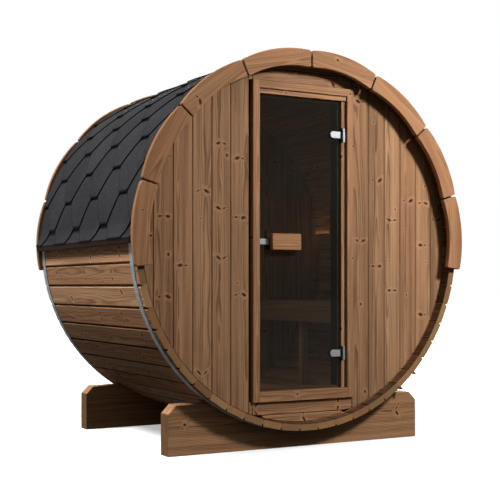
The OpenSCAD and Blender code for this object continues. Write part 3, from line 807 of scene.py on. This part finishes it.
for x0, x1, front in ((-stile_x, -stile_x + 0.005, 0.008),
                      (low[0] - 0.0045, low[0] - SHADE_STRIP_GAP, 0.014),
                      (high[0] + SHADE_STRIP_GAP, stile_x - SHADE_STRIP_GAP, 0.012)):
    shade_strips.pressed(box_outline(x0, x1, stop_y - front, stop_y - 0.0003), high[2] - low[2] - 0.002,
                  Matrix.Translation((0, 0, low[2] + 0.001)))
for x0 in (-stile_x + STOP_LAP, stile_x - right_lap - 0.001):
    shade_strips.pressed(box_outline(x0, x0 + 0.001, stop_y, frame_back), opening[1] - opening[0] - 2 * STOP_LAP,
                  Matrix.Translation((0, 0, opening[0] + STOP_LAP)), soften=0.0002)
shade_strips.done("cabin", "frame_wood", [], rubber)

# ---------------------------------------------------------------- hinges
# Two glass-door hinges in satin chrome. A plate is screwed to the batten and holds
# a pin between two ears; a clamp grips the glass and turns on the pin.

satin_chrome = steel("satin_chrome", (168, 170, 172), (136, 138, 141), patch=90.0, smooth=0.3, metallic=0.5)
# Painted shade: the pins and knuckles are dark steel, for the dark gap between clamp and plate
dark_steel = steel("dark_steel", (52, 52, 54), (30, 30, 32), patch=120.0, smooth=0.4)
PIN_X, PIN_Y = frame["joints"][0]["pos_m"][:2]
KNUCKLE, PIN_R, CLAMP_H, PLATE_H, FREE = 0.007, 0.003, 0.044, 0.076, 0.001
ROUND, PLATE_BACK, SCREW_UP, GASKET_T, SHADOW_RIM = 0.0006, 0.004, 0.026, 0.0012, 0.002
glass_low, glass_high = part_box("door_glass")
clamp_low, clamp_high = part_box("hinge_clamps")
plate_low, plate_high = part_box("hinge_plates")
plates, clamps = Fitting("hinge_plate_pair"), Fitting("hinge_clamp_pair")
pins, knuckles, gaskets_and_shadow_rims = Fitting("hinge_pins"), Fitting("hinge_knuckles"), Fitting("hinge_gaskets")


def socket_screw(fitting, place, radius=0.0042):
    """A button screw with a round socket in its head, head out along its own Z."""
    fitting.turned([(0.0, -0.001), (radius, -0.001), (radius, 0.0004), (radius * 0.86, 0.0012),
                    (radius * 0.55, 0.0016), (radius * 0.5, 0.0016), (radius * 0.46, 0.0006), (0.0, 0.0005)],
                   place, sides=24)


def facing(x, y, z):
    """A place whose own Z looks out of the front wall."""
    return Matrix.Translation((x, y, z)) @ Matrix.Rotation(math.pi / 2, 4, "X")


def knuckle_profile(radius, z0, z1, bore=0.0):
    """Half the section of a hinge knuckle with rounded ends, down to its bore."""
    return [(bore, z0), (radius - ROUND, z0), (radius, z0 + ROUND), (radius, z1 - ROUND),
            (radius - ROUND, z1), (bore, z1)]


ear = (PLATE_H - CLAMP_H) / 2 - FREE
plate_x, half = plate_low[0] + 0.008 + KNUCKLE, CLAMP_H / 2
centre, metal = clamp_low[0] + half, half - 0.0035
bend = np.linspace(math.pi / 2, 3 * math.pi / 2, 22)
for z in (plate_low[2] + PLATE_H / 2, plate_high[2] - PLATE_H / 2):
    plates.pressed(fillet(box_outline(plate_x, plate_high[0], z - PLATE_H / 2, z + PLATE_H / 2), 0.003),
                   plate_high[1] - (PIN_Y + PLATE_BACK), from_front(PIN_Y + PLATE_BACK))
    for ear_z in (z - PLATE_H / 2, z + PLATE_H / 2 - ear):
        pins.turned(knuckle_profile(KNUCKLE, 0, ear), Matrix.Translation((PIN_X, PIN_Y, ear_z)), sides=40)
        pins.pressed(box_outline(PIN_X, PIN_X + KNUCKLE + 0.002, PIN_Y, plate_high[1]), ear,
                     Matrix.Translation((0, 0, ear_z)))
    pins.turned([(0, 0), (PIN_R, 0), (PIN_R, PLATE_H), (0, PLATE_H)],
                Matrix.Translation((PIN_X, PIN_Y, z - PLATE_H / 2)), sides=24)
    for up in (-SCREW_UP, SCREW_UP):
        socket_screw(plates, facing((plate_x + plate_high[0]) / 2, PIN_Y + PLATE_BACK, z + up), 0.0034)
    shape = [(centre + metal * math.cos(a), z + metal * math.sin(a)) for a in bend]
    shape += [(glass_high[0] - 0.002, z - metal), (glass_high[0] - 0.002, z + metal)]
    # Each clamp sits on a rubber gasket whose rim past the clamp's edge is painted shadow
    lip = half + SHADOW_RIM
    gasket_and_shadow_rim = [(centre + lip * math.cos(a), z + lip * math.sin(a)) for a in bend]
    gasket_and_shadow_rim += [(glass_high[0], z - lip), (glass_high[0], z + lip)]
    for front, back in ((max(clamp_low[1] + 0.009, glass_low[1] - 0.008), glass_low[1]),
                        (glass_high[1], clamp_high[1])):
        clamps.pressed(shape, back - front, from_front(front), soften=0.0016, steps=3)
    for y in (glass_low[1] - GASKET_T, glass_high[1]):
        gaskets_and_shadow_rims.pressed(gasket_and_shadow_rim, GASKET_T, from_front(y), soften=0.0003)
    knuckles.turned(knuckle_profile(KNUCKLE, -half, half, PIN_R + 0.0003),
                    Matrix.Translation((PIN_X, PIN_Y, z)), sides=40, closed=True)
    knuckles.pressed(box_outline(glass_high[0] - 0.004, PIN_X - PIN_R - 0.001, PIN_Y, PIN_Y + KNUCKLE),
                     CLAMP_H - 0.001, Matrix.Translation((0, 0, z - half + 0.0005)))
    socket_screw(clamps, facing(centre, glass_high[1] + 0.005, z) @ Matrix.Rotation(math.pi, 4, "X"))
plates.done("cabin", "satin_metal", ["hinge_plates"], satin_chrome)
clamps.done("door", "satin_metal", ["hinge_clamps"], satin_chrome)
gaskets_and_shadow_rims.done("door", "satin_metal", [], rubber)
pins.done("cabin", "satin_metal", [], dark_steel)
knuckles.done("door", "satin_metal", [], dark_steel)

# ---------------------------------------------------------------- glass door
# The door is one sheet of bronze-tinted toughened glass, 8 mm thick, with its
# edges ground and polished.

bronze_glass, w, shader = new_material("bronze_glass", specular=0.06)
smear, dust = w.noise(w.spot(), 3.0, 3.0, 0.6), w.noise(w.spot(), 420.0, 2.0, 0.7)
w.feed(shader, {"Base Color": w.blend(smear.ramp(0.3, 0.7), rgb(36, 35, 31), rgb(41, 40, 35)),
                "Roughness": (smear * dust).ramp(0.1, 0.5, 0.02, 0.05), "Alpha": 0.45})
door = Fitting("door_glass_sheet")
door.pressed(fillet(box_outline(glass_low[0], glass_high[0], glass_low[2], glass_high[2]), 0.004),
             glass_high[1] - glass_low[1], from_front(glass_low[1]), soften=0.001)
door.done("door", "tinted_glass", ["door_glass"], bronze_glass)

# ---------------------------------------------------------------- catch, handle
# A metal catch holds the glass's free edge against the stop. A block of pale wood
# on each side of the glass makes the handle, joined through it by two bolts.

low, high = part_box("door_catch")
catch = Fitting("door_catch_block")
catch.pressed(fillet(box_outline(low[0] + 0.002, high[0], low[2], high[2]), 0.004), high[1] - low[1] - 0.0004,
              from_front(low[1]), soften=0.0012, steps=3)
catch.done("door", "satin_metal", ["door_catch"], satin_chrome)
handle_pine = pine("handle_pine", (178, 132, 95), (126, 88, 61), (150, 112, 80), knots=0.0, variety=0.1)
low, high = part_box("door_handle")
HANDLE_T = 0.03
handle = Timber("door_handle_blocks", 121)
for y in (low[1], high[1] - HANDLE_T):
    handle.cut(fillet(box_outline(low[0], high[0], low[2], high[2]), 0.006), HANDLE_T, from_front(y), 0,
               soften=0.004, steps=3, shade=0.6)
handle.done("door", "handle_wood", ["door_handle"], handle_pine)
low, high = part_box("handle_bolts")
BOLT_R, GROOVE, RIM = 0.008, 0.0012, 0.001
bolts = Fitting("handle_bolt_pair")
for x in (low[0] + BOLT_R, high[0] - BOLT_R):
    for start, length in ((low[1], glass_low[1] - low[1]), (glass_high[1], high[1] - glass_high[1])):
        sleeve = [(0, 0), (BOLT_R, 0), (BOLT_R, RIM), (BOLT_R - GROOVE, 2 * RIM),
                  (BOLT_R - GROOVE, length - 2 * RIM), (BOLT_R, length - RIM), (BOLT_R, length), (0, length)]
        place = Matrix.Translation((x, start, (low[2] + high[2]) / 2))
        bolts.turned(sleeve, place @ Matrix.Rotation(-math.pi / 2, 4, "X"))
bolts.done("door", "satin_metal", ["handle_bolts"], satin_chrome)

# ---------------------------------------------------------------- roof
# Bituminous shingles with six-sided tabs cover the upper half of the barrel. Each
# course laps the one below, all are nailed to the staves over an underlay, and at
# the foot they sweep out over a dark batten. Bent pieces cap the ridge.

# The eave battens are coloured a very dark brown
eave_pine = pine("eave_stain", (50, 34, 25), (28, 19, 14), (44, 32, 23), knot=(18, 12, 9), knots=0.5)
HOOP_CLEAR = 0.0036


def mirrored(hand, y, z=0.0):
    """Places an outline drawn for the right, seen from the front, on either hand."""
    return Matrix.Translation((0, y, z)) @ Matrix.Scale(hand, 4, (1, 0, 0)) @ FRONT_VIEW


for side, hand in (("left", -1), ("right", 1)):
    low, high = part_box("eave_batten_" + side)
    eave = Timber("eave_batten_" + side + "_strip", 130 + hand)
    eave.cut(box_outline(BARREL_R + HOOP_CLEAR, max(high[0], -low[0]), low[2], high[2]), high[1] - low[1],
             mirrored(hand, low[1]), 2, soften=0.0025)
    eave.done("cabin", "eave_wood", ["eave_batten_" + side], eave_pine)

# Mineral granules in bitumen: a speckle of dark slate, broad weathered tones, a
# shade for each tab, black along the cut edges and painted shadow along each course's foot
shingle, w, shader = new_material("slate_shingle", specular=0.14)
grit = w.put("ShaderNodeTexVoronoi", {"Vector": w.spot(), "Scale": 520.0})
speck = w.put("ShaderNodeSeparateColor", {0: grit["Color"]})[0]
coarse, weather = w.noise(w.spot(), 120.0, 3.0, 0.7), w.noise(w.spot(), 4.5, 3.0, 0.55)
tone = speck * 0.4 + coarse.ramp(0.43, 0.57) * 0.5 + weather.ramp(0.3, 0.7) * 0.18
tone = (tone + w.attribute("shade") * 0.2).clamped()
colour = w.blend(w.attribute("sawn"), w.blend(tone, rgb(2, 2, 3), rgb(57, 57, 60)), rgb(4, 4, 5))
bump = w.put("ShaderNodeBump", {"Strength": 0.5, "Distance": 0.0012, "Height": speck + coarse})
w.feed(shader, {"Base Color": colour, "Roughness": speck.ramp(0.0, 1.0, 0.72, 0.92), "Normal": bump[0]})
cover_low, cover_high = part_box("roof_cover_right")
COVER_R, EAVE_TOP, FLARE_H = cover_high[2] - AXIS_Z, cover_low[2] - AXIS_Z, 0.09
LIP_X = cover_high[0]
flare_angle = math.asin((EAVE_TOP + FLARE_H) / COVER_R)


def roof_line():
    """The roof's outer line on the right, from its lip up to the ridge: how far
    along it each point is, the point and the way out from it."""
    top = Vector((COVER_R * math.cos(flare_angle), COVER_R * math.sin(flare_angle)))
    lean = math.tan(flare_angle) * FLARE_H
    points = [Vector((top.x + lean * t + (LIP_X - top.x - lean) * t * t, top.y - t * (top.y - EAVE_TOP)))
              for t in np.linspace(1, 0, 25)]
    points += [Vector((COVER_R * math.cos(a), COVER_R * math.sin(a)))
               for a in np.linspace(flare_angle, math.pi / 2, 161)[1:]]
    run = [0.0]
    for a, b in zip(points, points[1:]):
        run.append(run[-1] + (b - a).length)
    last = len(points) - 1
    slopes = [(points[min(i + 1, last)] - points[max(i - 1, 0)]).normalized() for i in range(last + 1)]
    return np.array(run), np.array(points), np.array([(s.y, -s.x) for s in slopes])


line_run, line_at, line_out = roof_line()


def on_roof(run, rise):
    """A point of the roof: run is up the slope from the lip, rise over the staves."""
    at = [np.interp(run, line_run, line_at[:, i]) for i in (0, 1)]
    out = [np.interp(run, line_run, line_out[:, i]) for i in (0, 1)]
    lift = rise - (COVER_R - BARREL_R)
    return at[0] + out[0] * lift, at[1] + out[1] * lift


RIDGE_RUN = line_run[-1]
FIRST_COURSE = float(np.interp(0.0906, line_at[:, 1], line_run))
COURSE, TAB, TAB_START = 0.1555, 0.409, -0.368
TAB_RISE, TAB_T, PAINTED_SHADOW_BAND = 0.0142, 0.0055, 0.032
CAPS, CAP_HALF, CAP_T, CAP_LAP = 8, 0.125, 0.0034, 1.15


def lower_edge(y, shift):
    """How far up a course's lower edge is at y, from 0 at a tab to 1 between two."""
    phase = ((y - shift) / TAB) % 1.0
    return min(max(phase * 4 - 1, 0.0), 1.0, (1 - phase) * 4)


class Shingles:
    """Courses of shingles, or a row of ridge caps, in one mesh."""

    def __init__(self, name, seed):
        self.name, self.chance = name, random.Random(seed)
        self.points, self.faces, self.shade, self.sawn = [], [], [], []

    def point(self, run, rise, y, hand):
        x, z = on_roof(run, rise)
        self.points.append((hand * x, y, AXIS_Z + z))
        return len(self.points) - 1

    def face(self, corners, hand, tone, cut):
        self.faces.append(corners if hand > 0 else corners[::-1])
        self.shade.append(tone)
        self.sawn.append(cut)

    def course(self, number, hand, steps=9):
        """One course from end to end, in strips that follow its lower edge; the first is painted shadow."""
        start = FIRST_COURSE + number * COURSE
        shift = TAB_START + (TAB / 2 if number % 2 else 0)
        ys = [y for y in (shift + i * TAB / 12 for i in range(-60, 61))
              if BARREL_FRONT + 0.003 < y < BARREL_BACK - 0.003]
        ys = [BARREL_FRONT] + ys + [BARREL_BACK]
        end = min(start + 2 * COURSE + 0.004, RIDGE_RUN)
        shares = [0.0] + [PAINTED_SHADOW_BAND + (1 - PAINTED_SHADOW_BAND) * i / steps for i in range(steps + 1)]
        tones, columns = {}, []
        for y in ys:
            foot = min(max(start + COURSE * lower_edge(y, shift), 0.0), end - 0.001)
            rows = []
            for share in shares:
                run = foot + (end - foot) * share
                rows.append(self.point(run, TAB_RISE - TAB_T * (run - start) / COURSE, y, hand))
            rise = TAB_RISE - TAB_T * (foot - start) / COURSE
            edge = [self.point(foot, rise, y, hand), self.point(foot, rise - TAB_T + 0.0002, y, hand)]
            columns.append((rows, edge))
        for i, (here, there) in enumerate(zip(columns, columns[1:])):
            key = math.floor(((ys[i] + ys[i + 1]) / 2 - shift + TAB / 8) / TAB)
            tone = tones.setdefault(key, self.chance.random())
            for a in range(steps + 1):
                corners = [here[0][a], there[0][a], there[0][a + 1], here[0][a + 1]]
                # The strip at the foot is a band of painted shadow
                self.face(corners, hand, tone, 0.0 if a else 0.9)
            self.face([here[1][1], there[1][1], there[1][0], here[1][0]], hand, tone, 1.0)

    def ridge(self, steps=10):
        """Bent caps along the ridge, each over the foot of the next."""
        long = BARREL_LEN / CAPS
        for i in range(CAPS):
            tone, y0 = self.chance.random(), BARREL_FRONT + i * long
            y1, rows = min(y0 + long * CAP_LAP, BARREL_BACK), []
            for thick in (0.0, CAP_T):
                for y, rise in ((y0, TAB_RISE + 0.0036), (y1, TAB_RISE + 0.0008)):
                    out = BARREL_R + rise - thick
                    rows.append(range(len(self.points), len(self.points) + steps + 1))
                    self.points += [(out * math.sin(a), y, AXIS_Z + out * math.cos(a))
                                    for a in np.linspace(-CAP_HALF, CAP_HALF, steps + 1)]
            top0, top1, low0, low1 = rows
            for a in range(steps):
                self.face([top0[a], top0[a + 1], top1[a + 1], top1[a]], 1, tone, 0.0)
                self.face([low0[a], low0[a + 1], top0[a + 1], top0[a]], 1, tone, 1.0)
            for a, hand in ((0, 1), (steps, -1)):
                self.face([low1[a], low0[a], top0[a], top1[a]], hand, tone, 1.0)

    def done(self, nodes):
        mesh = bpy.data.meshes.new(self.name)
        mesh.from_pydata(self.points, [], self.faces)
        for name, values in (("shade", self.shade), ("sawn", self.sawn)):
            mesh.attributes.new(name, "FLOAT", "FACE").data.foreach_set("value", values)
        for polygon in mesh.polygons:
            polygon.use_smooth = self.sawn[polygon.index] == 0
        set_in_place(self.name, mesh, "cabin", nodes, shingle)


FELT_RISE, FELT_OVER = 0.0036, 0.0034
felt_r = BARREL_R + FELT_OVER
under_felt = [(felt_r * math.cos(a), felt_r * math.sin(a))
              for a in np.linspace(math.asin(EAVE_TOP / felt_r), math.pi / 2, 60)]
felt_outline = [on_roof(run, FELT_RISE) for run in np.linspace(0, RIDGE_RUN, 60)] + under_felt[::-1]
for side, hand in (("left", -1), ("right", 1)):
    roof = Shingles("roof_shingles_" + side, 140 + hand)
    number = -2
    while FIRST_COURSE + number * COURSE < RIDGE_RUN - 0.02:
        roof.course(number, hand)
        number += 1
    roof.done(["roof_cover_" + side])
    felt = Fitting("roof_underlay_" + side)
    felt.pressed(felt_outline, BARREL_LEN, mirrored(hand, BARREL_FRONT, AXIS_Z), soften=0)
    felt.done("cabin", "shingle", [], rubber)
caps = Shingles("roof_ridge_caps", 150)
caps.ridge()
caps.done([])

# ---------------------------------------------------------------- end boards
# Eight curved boards cover each end of the staves and the roof's edge. Each is
# sawn from a straight plank to a curve of its own, so it bellies out between its
# ends, and its corners and edges are rounded.

trim_pine = pine("trim_pine", (182, 135, 98), (126, 89, 62), (136, 104, 72), knots=0.7, pairs=0.3,
                 variety=0.2)
TRIM_BOARDS, TRIM_ANGLE, TRIM_GAP, TRIM_OUT, TRIM_BELLY = 8, math.radians(24.5), 0.009, 0.017, 0.3
TRIM_W = 0.091
corner_r = BARREL_R + TRIM_OUT
half = TRIM_ANGLE / 2 - math.asin(TRIM_GAP / 2 / corner_r)
trim_outer = math.hypot(corner_r * math.cos(half) - TRIM_BELLY, corner_r * math.sin(half))
outline = []
for radius, turn in ((trim_outer, 1), (trim_outer - TRIM_W, -1)):
    for a in np.linspace(-half, half, 17)[::turn]:
        reach = TRIM_BELLY * math.cos(a) + math.sqrt(radius ** 2 - (TRIM_BELLY * math.sin(a)) ** 2)
        outline.append((reach * math.sin(a), reach * math.cos(a)))
outline = fillet(outline, 0.018, steps=5, sharpest=40)
for end, seed in (("front", 160), ("rear", 161)):
    low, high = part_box(end + "_trim_boards")
    trims = Timber(end + "_trim_planks", seed)
    for i in range(TRIM_BOARDS):
        angle = math.pi / 2 + (i - (TRIM_BOARDS - 1) / 2) * TRIM_ANGLE
        trims.cut(outline, high[1] - low[1], round_the_axis(angle, low[1]), 0, soften=0.004, steps=3,
                  sharpest=40)
    trims.done("cabin", "trim_wood", [end + "_trim_boards"], trim_pine)

# ---------------------------------------------------------------- studio
# A pale floor that fades into a white surround, two distant lamps and a near one
# that lights the front. The camera stands low, to the left of the door.

floor_mesh = bpy.data.meshes.new("studio_floor")
disc = bmesh.new()
bmesh.ops.create_circle(disc, cap_ends=True, segments=96, radius=60)
disc.to_mesh(floor_mesh)
disc.free()
studio_floor = bpy.data.objects.new("studio_floor", floor_mesh)
studio_floor.location.z = -0.0005
bpy.context.collection.objects.link(studio_floor)
NEAR_GLOW, GLOSSY_LESS, GREY = 0.42, 0.22, 0.025
pale, w, shader = new_material("studio_pale")
w.tree.nodes.remove(shader)
rays = w.put("ShaderNodeLightPath")
by_camera, by_gloss, through = rays["Is Camera Ray"], rays["Is Glossy Ray"], rays["Is Transmission Ray"]
seen = w.sum("MAXIMUM", by_camera, w.sum("MAXIMUM", by_gloss, through))
away = w.put("ShaderNodeVectorMath", {0: w.spot()}, operation="LENGTH")["Value"]
near = NEAR_GLOW - by_gloss * GLOSSY_LESS
fade = near + away.ramp(1.6, 4.5) * (1.0 - near)
matt = w.put("ShaderNodeBsdfDiffuse", {
    "Color": w.blend(by_camera, (GREY, GREY, GREY, 1), (0.8, 0.8, 0.8, 1))})
white = w.put("ShaderNodeEmission", {"Color": (1, 1, 1, 1), "Strength": fade * seen})
both = w.put("ShaderNodeAddShader", {0: matt[0], 1: white[0]})
w.feed(w.tree.nodes["Material Output"], {"Surface": both[0]})
floor_mesh.materials.append(pale)

world = bpy.data.worlds.new("studio_world")
bpy.context.scene.world = world
world.use_nodes = True
w = Wiring(world.node_tree)
rays = w.put("ShaderNodeLightPath")
seen = w.sum("MAXIMUM", rays["Is Camera Ray"], rays["Is Transmission Ray"])
up = w.put("ShaderNodeSeparateXYZ", {0: w.put("ShaderNodeTexCoord")["Generated"]})[2]
w.feed(world.node_tree.nodes["Background"], {
    "Color": (1, 1, 1, 1), "Strength": w.sum("MAXIMUM", seen, up.ramp(0.05, 1.0, 0.03, 0.55))})


def aim(lamp, back):
    """Turns a lamp so that it shines against the direction back."""
    lamp.rotation_mode = "QUATERNION"
    lamp.rotation_quaternion = back.to_track_quat("Z", "Y")


# Distant lamps; azimuth 0 is in front of the door, positive to its right
for name, azimuth, elevation, strength, softness in (("fill_lamp", -102, 59, 4.4, 16),
                                                     ("back_lamp", 150, 14, 1.6, 20)):
    lamp = new_lamp(name, "SUN", strength)
    lamp.data.angle = math.radians(softness)
    a, e = math.radians(azimuth), math.radians(elevation)
    aim(lamp, Vector((math.sin(a) * math.cos(e), -math.cos(a) * math.cos(e), math.sin(e))))
key = new_lamp("key_lamp", "AREA", 121.0)
key.data.shape, key.data.size = "DISK", 0.55
key.location = (1.4, -3.1, 2.9)
aim(key, key.location - Vector((1.3, -0.66, 0.9)))

camera_data = bpy.data.cameras.new("camera")
camera_data.sensor_width, camera_data.lens = 36, 75.505
camera_data.shift_x, camera_data.shift_y = 0.0302, 0.0723
camera = bpy.data.objects.new("camera", camera_data)
camera.location = (-3.00699, -5.4284, 0.8621)
camera.rotation_euler = (math.radians(90), 0, math.radians(-28.521))
bpy.context.collection.objects.link(camera)
bpy.context.scene.camera = camera
bpy.context.scene.view_settings.view_transform = "Standard"
